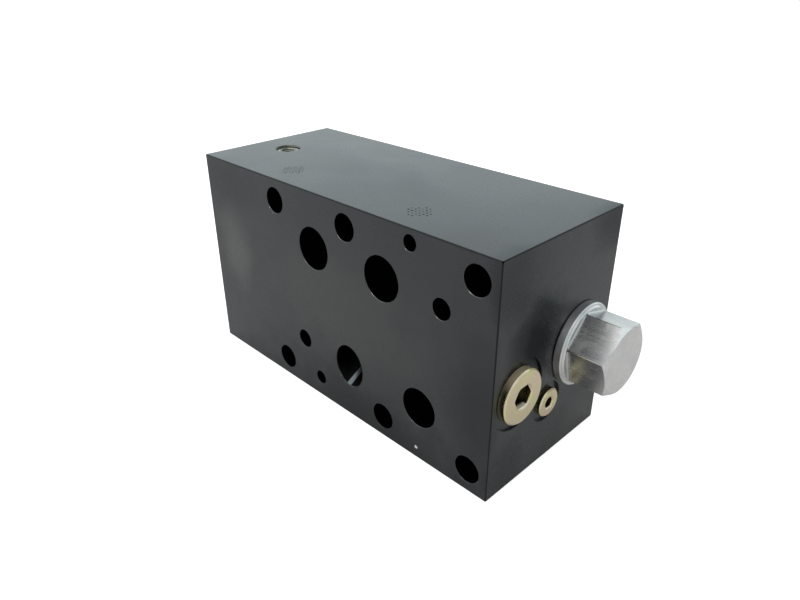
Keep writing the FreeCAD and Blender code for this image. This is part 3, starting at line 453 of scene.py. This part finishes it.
def block_mask_group():
    """Masks of the block: outer edges, rims of the front holes, inside the holes, and all
    that lies below the upper face."""
    tree, given, result = shader_group(
        "block_masks", ["Edge", "Rim", "Inside", "Sunk"], Half=(1, 1, 1), Width=0.001)
    depth = parts_of(tree, vectors(tree, "SUBTRACT", given["Half"],
                                   vectors(tree, "ABSOLUTE", given["Position"])))
    near = [remap(tree, depth[axis], given["Width"], 0.0, smooth=True) for axis in "XYZ"]
    pairs = [sums(tree, "MULTIPLY", near[a], near[b]) for a, b in ((0, 1), (1, 2), (0, 2))]
    wire(tree, sums(tree, "MINIMUM", sums(tree, "ADD", *pairs), 1.0), result["Edge"])

    place = parts_of(tree, given["Position"])["Y"]
    half = parts_of(tree, given["Half"])["Y"]
    from_front = sums(tree, "ADD", half, place)
    from_back = sums(tree, "SUBTRACT", half, place)
    well_in = sums(tree, "MINIMUM", remap(tree, depth["X"], *OFF_SIDES),
                   remap(tree, depth["Z"], *OFF_SIDES), remap(tree, from_back, *OFF_BACK))
    past_rim = remap(tree, from_front, *PAST_RIMS)
    wire(tree, sums(tree, "MINIMUM", well_in, past_rim), result["Inside"])
    rim = sums(tree, "MULTIPLY", remap(tree, from_front, *OFF_FRONT), all_but(tree, past_rim),
               well_in)
    wire(tree, rim, result["Rim"])
    wire(tree, remap(tree, depth["Z"], *OFF_TOP), result["Sunk"])
    return tree


def spot_group():
    """A spot with a ragged edge: 1 in its middle, 0 outside."""
    tree, given, result = shader_group(
        "ragged_spot", ["Spot"], Centre=(0, 0, 0), Radius=0.001)
    away = vectors(tree, "LENGTH",
                   vectors(tree, "SUBTRACT", given["Position"], given["Centre"]))
    ragged = remap(tree, noise(tree, given["Position"], NICK_NOISE), *WIDE, *NICK_RAGGED)
    share = sums(tree, "DIVIDE", away, sums(tree, "MULTIPLY", given["Radius"], ragged))
    wire(tree, remap(tree, share, *NICK_EDGE, smooth=True), result["Spot"])
    return tree


def smear_group():
    """A large soft smear with a wavy edge: 1 at its centre, 0 outside."""
    tree, given, result = shader_group(
        "soft_smear", ["Smear"], Centre=(0, 0, 0), Reach=(1, 1, 1))
    away = vectors(tree, "SUBTRACT", given["Position"], given["Centre"])
    share = vectors(tree, "LENGTH", vectors(tree, "DIVIDE", away, given["Reach"]))
    wavy = remap(tree, noise(tree, given["Position"], SMEAR_NOISE), *WIDE, *SMEAR_WAVY)
    smear = remap(tree, sums(tree, "DIVIDE", share, wavy), *SMEAR_EDGE, smooth=True)
    wire(tree, smear, result["Smear"])
    return tree


def socket_group():
    """Masks of a hexagon socket: all of it, its lowest flat's mouth, and a band at a set depth.
    """
    tree, given, result = shader_group(
        "socket_inside", ["Inside", "Flat", "Band"], Radius=0.005)
    parts = parts_of(tree, given["Position"])
    near = remap(tree, from_axis(tree, parts),
                 given["Radius"], sums(tree, "MULTIPLY", given["Radius"], SOCKET_WHOLE))
    inside = sums(tree, "MULTIPLY", near, remap(tree, parts["X"], *SOCKET_DEEP))
    wire(tree, inside, result["Inside"])
    lowest = sums(tree, "LESS_THAN", parts["Z"],
                  sums(tree, "MULTIPLY", given["Radius"], LOWEST_FLAT))
    mouth = sums(tree, "MULTIPLY", near, lowest, remap(tree, parts["X"], *FLAT_MOUTH))
    wire(tree, mouth, result["Flat"])
    band = sums(tree, "MULTIPLY", remap(tree, parts["X"], *BAND_OUTER),
                remap(tree, parts["X"], *BAND_INNER), near)
    wire(tree, band, result["Band"])
    return tree


def new_material(name, **sockets):
    """A material with a Principled shader whose plain values are set on its sockets."""
    made = bpy.data.materials.new(name)
    made.use_nodes = True
    tree = made.node_tree
    shader = tree.nodes["Principled BSDF"]
    for label, value in sockets.items():
        shader.inputs[label.replace("_", " ")].default_value = value
    return made, tree, shader


def centred(tree, centre=(0, 0, 0), turn=(0, 0, 0)):
    """Object coordinates measured from a centre, along turned axes."""
    place = node(tree, "ShaderNodeTexCoord").outputs["Object"]
    moved = node(tree, "ShaderNodeMapping", {
        "Vector": place, "Location": tuple(centre), "Rotation": turn,
    }, vector_type="TEXTURE")
    return moved.outputs["Vector"]


def group(tree, made, **sockets):
    """The outputs of a node group placed in a tree."""
    return node(tree, "ShaderNodeGroup", sockets, node_tree=made).outputs


def bump(tree, shader, height, strength):
    """A faint relief in a finish."""
    made = node(tree, "ShaderNodeBump", {
        "Height": height, "Strength": strength, "Distance": BUMP_DEPTH,
    })
    wire(tree, made.outputs["Normal"], shader.inputs["Normal"])


def black_block(groups):
    """Blackened steel: satin and faintly cloudy, with painted sheen, painted shade in holes, on
    edges and in patches, a painted highlight streak, and a few nicks.
    """
    made, tree, shader = new_material("black_block", Specular_Tint=BLACK_SHEEN)
    here = centred(tree, middle(BLOCK))
    place = centred(tree)
    half = tuple((BLOCK[1] - BLOCK[0]) / 2)
    mottle = group(tree, groups["mottle"], Position=here, Clouds=24.0, Grain=2600.0)
    mask = group(tree, groups["masks"], Position=here, Half=half, Width=EDGE_WIDE)

    def smear(centre, reach):
        placed = group(tree, groups["smear"], Position=place, Centre=centre, Reach=reach)
        return placed["Smear"]

    # A painted highlight: a strip of bare metal steel on the service port's wall, in the shape
    # of the highlight streak
    streak = sums(tree, "MULTIPLY", mask["Inside"],
                  remap(tree, smear(*STREAK_STRIP), *STREAK_EDGE))
    mouth = sums(tree, "MULTIPLY", mask["Sunk"], remap(tree, smear(*VENT_PORT), *VENT_EDGE))
    bare = sums(tree, "MAXIMUM", streak, mouth)
    # Painted shade: the outer edges and the insides of the holes, but not the bare steel, are
    # painted nearly black and made metal, so that they hardly reflect
    edge_and_hole_shade = sums(tree, "MULTIPLY", sums(tree, "MAXIMUM", mask["Edge"], mask["Inside"]),
               all_but(tree, bare))
    # Patches of painted shade, added to the painted shade of the edges and holes
    shade_patches = [sums(tree, "MULTIPLY", smear(centre, reach), share)
            for centre, reach, share in PAINTED_SHADE_PATCHES]
    painted_shade = sums(tree, "MAXIMUM", edge_and_hole_shade, *shade_patches)

    colour = blend(tree, remap(tree, mottle["Cloud"], *WIDE), *BLACKENED)
    # Painted sheen: paler patches where the faces catch more light
    for centre, reach, light in SHEEN_PATCHES:
        colour = blend(tree, smear(centre, reach), colour, (light, light, light * SHEEN_BLUE, 1))
    for share, tint in ((mask["Rim"], RIM_STEEL), (painted_shade, SHADE_BLACK), (streak, STREAK_STEEL),
                        (mouth, VENT_STEEL)):
        colour = blend(tree, share, colour, tint)
    for centre, radius, share in NICKS:
        nick = group(tree, groups["spot"], Position=place, Centre=centre, Radius=radius)
        colour = blend(tree, sums(tree, "MULTIPLY", nick["Spot"], share), colour, NICK_STEEL)
    wire(tree, colour, shader.inputs["Base Color"])

    rough = sums(tree, "ADD", remap(tree, mottle["Cloud"], *WIDE, *SATIN),
                 remap(tree, mottle["Grain"], *WIDE, *SATIN_GRAIN),
                 sums(tree, "MULTIPLY", edge_and_hole_shade, DIM_ROUGHER))
    wire(tree, rough, shader.inputs["Roughness"])
    metal = sums(tree, "MAXIMUM",
                 sums(tree, "MULTIPLY", painted_shade, remap(tree, painted_shade, *SHADE_METAL)),
                 sums(tree, "MULTIPLY", mask["Rim"], RIM_METAL), bare)
    wire(tree, metal, shader.inputs["Metallic"])
    bump(tree, shader, mottle["Grain"], strength=0.05)
    return made


def bright_steel(groups):
    """Machined steel of the hexagon plug: turned flange and end face, smooth flats."""
    made, tree, shader = new_material("bright_steel")
    axis = middle(HEX_PLUG)
    here = centred(tree, (HEX_PLUG[1].x, axis.y, axis.z))
    turned = group(tree, groups["turning"], Position=here, Pitch=2600.0)["Lines"]
    drawn = group(tree, groups["drawn"], Position=here, Pitch=900.0)["Lines"]
    cloud = group(tree, groups["mottle"], Position=here, Clouds=110.0)["Cloud"]
    along = parts_of(tree, here)["X"]
    on_flats = sums(tree, "MULTIPLY",
                    sums(tree, "GREATER_THAN", along, -HEX_FLAT_LONG),
                    sums(tree, "LESS_THAN", along, -HEX_FACE_DEEP))
    on_side = sums(tree, "LESS_THAN", along, -HEX_FLAT_LONG - FLANGE_EDGE)
    lines = blend_values(tree, on_flats, turned, remap(tree, drawn, *CALMER))

    colour = blend(tree, remap(tree, cloud, *CORE), *MACHINED)
    colour = blend(tree, remap(tree, lines, *STEEL_LINED), colour, TOOL_LINES)
    # The flats are darker towards the flange
    darker_near_flange = remap(tree, along, -HEX_FLAT_LONG, -UNDARKENED_SHARE * HEX_FLAT_LONG, DARKENING_AT_FLANGE, 0.0)
    colour = blend(tree, sums(tree, "MULTIPLY", on_flats, darker_near_flange), colour, FLAT_DARKENING)
    wire(tree, colour, shader.inputs["Base Color"])

    rough = sums(tree, "ADD", remap(tree, lines, *WIDE, *STEEL_ROUGH),
                 remap(tree, cloud, *CLOUD_ROUGHER))
    wire(tree, blend_values(tree, on_side, rough, FLANGE_ROUGH), shader.inputs["Roughness"])
    wire(tree, blend_values(tree, on_side, 1.0, FLANGE_METAL), shader.inputs["Metallic"])
    bump(tree, shader, lines, strength=0.08)
    return made


def yellow_zinc(groups, name, box, axis, socket, colours, banded, dusty):
    """Passivated zinc on a turned plug, with faint clouds, painted shade in its socket, and a
    painted highlight on the socket's lowest flat where no lighter band shows.
    """
    made, tree, shader = new_material(name)
    centre = middle(box)
    centre[axis] = box[1][axis]
    here = centred(tree, centre, TURNS[axis])
    parts = parts_of(tree, here)
    turned = group(tree, groups["turning"], Position=here, Pitch=3200.0)["Lines"]
    cloud = group(tree, groups["mottle"], Position=here, Clouds=160.0)["Cloud"]
    hexagon = group(tree, groups["socket"], Position=here, Radius=socket)
    flat = sums(tree, "MULTIPLY", hexagon["Flat"], 1.0 - banded)
    band = sums(tree, "MULTIPLY", hexagon["Band"], banded)
    on_side = sums(tree, "MULTIPLY", remap(tree, parts["X"], -COLLAR_EDGE, -2 * COLLAR_EDGE),
                   all_but(tree, hexagon["Inside"]))
    dust_line = [share * (box[1].z - box[0].z) / 2 for share in DUST_LINE]
    dust = sums(tree, "MULTIPLY", on_side,
                remap(tree, parts["Z"], *dust_line, 0.0, dusty, smooth=True))

    first, second, line, shade = colours
    colour = blend(tree, remap(tree, cloud, *CORE), first, second)
    colour = blend(tree, remap(tree, turned, *ZINC_LINED), colour, line)
    # Painted shade darkens the socket, the lowest flat gets a painted highlight, and the band
    # is lighter
    shaded = sums(tree, "MULTIPLY", hexagon["Inside"], SOCKET_SHADE)
    for share, tint in ((shaded, shade), (flat, PAINTED_LIT_FLAT), (band, SOCKET_BAND)):
        colour = blend(tree, share, colour, tint)
    wire(tree, colour, shader.inputs["Base Color"])

    matt = sums(tree, "MULTIPLY", sums(tree, "MAXIMUM", flat, band), MATT)
    wire(tree, all_but(tree, sums(tree, "MAXIMUM", matt, dust)), shader.inputs["Metallic"])
    rough = blend_values(tree, on_side, remap(tree, turned, *WIDE, *ZINC_ROUGH), COLLAR_ROUGH)
    wire(tree, rough, shader.inputs["Roughness"])
    bump(tree, shader, turned, strength=0.08)
    return made


def mottled(groups, name, clouds, grain, spread, colours, rough, raised=0.0, **sockets):
    """A finish that is only mottled. The clouds blend its colours over their spread, and the
    grain gives its roughness and, where it is raised, its bump."""
    made, tree, shader = new_material(name, **sockets)
    mottle = group(tree, groups["mottle"], Position=centred(tree), Clouds=clouds, Grain=grain)
    colour = blend(tree, remap(tree, mottle["Cloud"], *spread), *colours)
    wire(tree, colour, shader.inputs["Base Color"])
    wire(tree, remap(tree, mottle["Grain"], *WIDE, *rough), shader.inputs["Roughness"])
    if raised:
        bump(tree, shader, mottle["Grain"], strength=raised)
    return made


def ground_steel(groups):
    """Fine-ground steel of the inner pieces and the pins."""
    return mottled(groups, "ground_steel", clouds=90.0, grain=5200.0, spread=CORE,
                   colours=[(0.50, 0.51, 0.52, 1), (0.60, 0.60, 0.60, 1)],
                   rough=(0.22, 0.36), raised=0.06, Metallic=1.0)


def spring_wire(groups):
    """Oil-tempered spring wire."""
    return mottled(groups, "spring_wire", clouds=300.0, grain=6000.0, spread=WIDE,
                   colours=[(0.16, 0.16, 0.17, 1), (0.30, 0.29, 0.28, 1)],
                   rough=(0.32, 0.46), Metallic=1.0)


def seal_rubber(groups):
    """Black nitrile rubber with a faint bloom."""
    return mottled(groups, "seal_rubber", clouds=220.0, grain=4200.0, spread=CORE,
                   colours=[(0.010, 0.010, 0.010, 1), (0.022, 0.022, 0.023, 1)],
                   rough=(0.46, 0.60), raised=0.05)


def peened_dot(groups):
    """The dull bottoms of the peened dots."""
    return mottled(groups, "peened_dot", clouds=900.0, grain=9000.0, spread=WIDE,
                   colours=[(0.038, 0.040, 0.043, 1), (0.072, 0.075, 0.079, 1)],
                   rough=(0.5, 0.65), Specular_IOR_Level=0.0)


def dot_tree(material):
    """Dots on a square grid, kept inside a circle."""
    tree = bpy.data.node_groups.new("peened_dots", "GeometryNodeTree")
    for label in ("Radius", "Spacing", "Dot"):
        tree.interface.new_socket(label, in_out="INPUT", socket_type="NodeSocketFloat")
    tree.interface.new_socket("Dots", in_out="OUTPUT", socket_type="NodeSocketGeometry")
    given = tree.nodes.new("NodeGroupInput").outputs
    leave = tree.nodes.new("NodeGroupOutput")
    side = sums(tree, "MULTIPLY", given["Radius"], 2.0)
    gaps = sums(tree, "FLOOR", sums(tree, "DIVIDE", side, given["Spacing"]))
    rows = sums(tree, "ADD", gaps, 1.0)
    grid = node(tree, "GeometryNodeMeshGrid", {
        "Size X": side, "Size Y": side, "Vertices X": rows, "Vertices Y": rows,
    })
    place = node(tree, "GeometryNodeInputPosition").outputs[0]
    kept = sums(tree, "LESS_THAN", vectors(tree, "LENGTH", place),
                sums(tree, "MULTIPLY", given["Radius"], MARK_SLACK))
    dot = node(tree, "GeometryNodeMeshCircle", {
        "Vertices": DOT_SIDES, "Radius": given["Dot"],
    }, fill_type="NGON")
    shares = node(tree, "FunctionNodeRandomValue", {
        RANDOM_LOW: DOT_SHARES[0], RANDOM_HIGH: DOT_SHARES[1], "Seed": DOT_SEED,
    }, data_type="FLOAT")
    placed = node(tree, "GeometryNodeInstanceOnPoints", {
        "Points": grid.outputs["Mesh"], "Instance": dot.outputs["Mesh"], "Selection": kept,
        "Scale": shares.outputs[RANDOM_NUMBER],
    })
    real = node(tree, "GeometryNodeRealizeInstances", {"Geometry": placed.outputs[0]})
    dressed = node(tree, "GeometryNodeSetMaterial", {
        "Geometry": real.outputs[0], "Material": material,
    })
    wire(tree, dressed.outputs[0], leave.inputs["Dots"])
    return tree


def grown(name, tree, **values):
    """The plain mesh that a Geometry Nodes tree makes, as a new object at the origin."""
    seed = bpy.data.objects.new(name, bpy.data.meshes.new(name))
    bpy.context.scene.collection.objects.link(seed)
    modifier = seed.modifiers.new("grow", "NODES")
    modifier.node_group = tree
    for item in tree.interface.items_tree:
        if item.in_out == "INPUT" and item.name in values:
            modifier[item.identifier] = values[item.name]
    bpy.context.view_layer.update()
    result = seed.evaluated_get(bpy.context.evaluated_depsgraph_get())
    mesh = bpy.data.meshes.new_from_object(result)
    seed.modifiers.remove(modifier)
    seed.data = mesh
    return seed


def peened_marks(groups):
    """The two round marks on the upper face, bare of any sign."""
    tree = dot_tree(peened_dot(groups))
    for name, (x, y) in MARKS.items():
        mark = grown(name, tree, Radius=MARK_RADIUS, Spacing=DOT_SPACING, Dot=DOT_RADIUS)
        mark.data.transform(Matrix.Translation((x, y, BLOCK[1].z + DOT_PROUD)))
        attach(mark, "block")


def dress(groups):
    """Gives every CAD node its finish."""
    plain = {
        "black_block": black_block(groups),
        "bright_steel": bright_steel(groups),
        "ground_steel": ground_steel(groups),
        "spring_wire": spring_wire(groups),
        "seal_rubber": seal_rubber(groups),
    }
    zinc = {plug: yellow_zinc(groups, *values) for plug, values in ZINC_PLUGS.items()}
    for part in frame["record"]["subparts"]:
        name = part["node"]
        finish = zinc.get(name) or plain[part["material_slot"]]
        mesh = frame["nodes"][name].data
        mesh.materials.clear()
        mesh.materials.append(finish)


def compressing_springs():
    """A copy of each spring, carried by its joint's parent body and shown in the spring's
    place.
    """
    for joint in frame["joints"]:
        for entry in joint["deforming_nodes"]:
            name = entry["node"]
            coil = bpy.data.objects.new(name + "_coil", frame["nodes"][name].data.copy())
            bpy.context.scene.collection.objects.link(coil)
            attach(coil, joint["parent"])
            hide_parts(name)
            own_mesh(coil)


def white_floor():
    """A white table that keeps the object's shadow."""
    mesh = bpy.data.meshes.new("floor")
    corners = [(-FLOOR_REACH, -FLOOR_REACH, 0), (FLOOR_REACH, -FLOOR_REACH, 0),
               (FLOOR_REACH, FLOOR_REACH, 0), (-FLOOR_REACH, FLOOR_REACH, 0)]
    mesh.from_pydata(corners, [], [(0, 1, 2, 3)])
    floor = bpy.data.objects.new("floor", mesh)
    bpy.context.scene.collection.objects.link(floor)
    floor.location.z = BLOCK[0].z - FLOOR_GAP
    made = bpy.data.materials.new("white_floor")
    made.use_nodes = True
    tree = made.node_tree
    tree.nodes.clear()
    paper = node(tree, "ShaderNodeBsdfDiffuse", {"Color": FLOOR_PAPER})
    rays = node(tree, "ShaderNodeLightPath").outputs
    seen = sums(tree, "MULTIPLY", rays["Is Camera Ray"], FLOOR_GLOW)
    glow = node(tree, "ShaderNodeEmission", {"Color": (*WHITE, 1), "Strength": seen})
    both = node(tree, "ShaderNodeAddShader", {0: paper.outputs[0], 1: glow.outputs[0]})
    node(tree, "ShaderNodeOutputMaterial", {"Surface": both.outputs[0]})
    mesh.materials.append(made)


def white_world():
    """A white room: white where it is seen, and in reflections brightest low down and behind
    the table."""
    world = bpy.data.worlds.new("world")
    bpy.context.scene.world = world
    world.use_nodes = True
    tree = world.node_tree
    tree.nodes.clear()
    rays = node(tree, "ShaderNodeLightPath").outputs
    mirrored = sums(tree, "MAXIMUM", rays["Is Glossy Ray"], rays["Is Transmission Ray"])
    parts = parts_of(tree, node(tree, "ShaderNodeTexCoord").outputs["Generated"])
    room = sums(tree, "MULTIPLY", remap(tree, parts["Y"], *ROOM_FRONT_TO_BACK, smooth=True),
                remap(tree, parts["Z"], *ROOM_LOW_TO_HIGH, smooth=True))
    lit = blend_values(tree, mirrored, ROOM_ON_MATT, room)
    strength = blend_values(tree, rays["Is Camera Ray"], lit, 1.0)
    tint = blend(tree, mirrored, (*WHITE, 1), ROOM_TINT)
    glow = node(tree, "ShaderNodeBackground", {"Color": tint, "Strength": strength})
    node(tree, "ShaderNodeOutputWorld", {"Surface": glow.outputs[0]})


def softbox(name, at, aim, size, power, colour):
    """A rectangular lamp, turned towards its aim."""
    data = bpy.data.lights.new(name, "AREA")
    data.color = colour
    data.shape = "RECTANGLE"
    data.size, data.size_y = size
    data.energy = power
    lamp = bpy.data.objects.new(name, data)
    bpy.context.scene.collection.objects.link(lamp)
    lamp.location = at
    lamp.rotation_euler = (Vector(aim) - Vector(at)).to_track_quat("-Z", "Y").to_euler()


def main():
    bpy.context.scene.view_settings.view_transform = "Standard"
    set_camera()
    white_floor()
    white_world()
    for name, values in SOFTBOXES.items():
        softbox(name, *values)
    groups = {
        "mottle": mottle_group(),
        "turning": turning_group(),
        "drawn": drawn_group(),
        "masks": block_mask_group(),
        "spot": spot_group(),
        "smear": smear_group(),
        "socket": socket_group(),
    }
    dress(groups)
    compressing_springs()
    peened_marks(groups)


main()
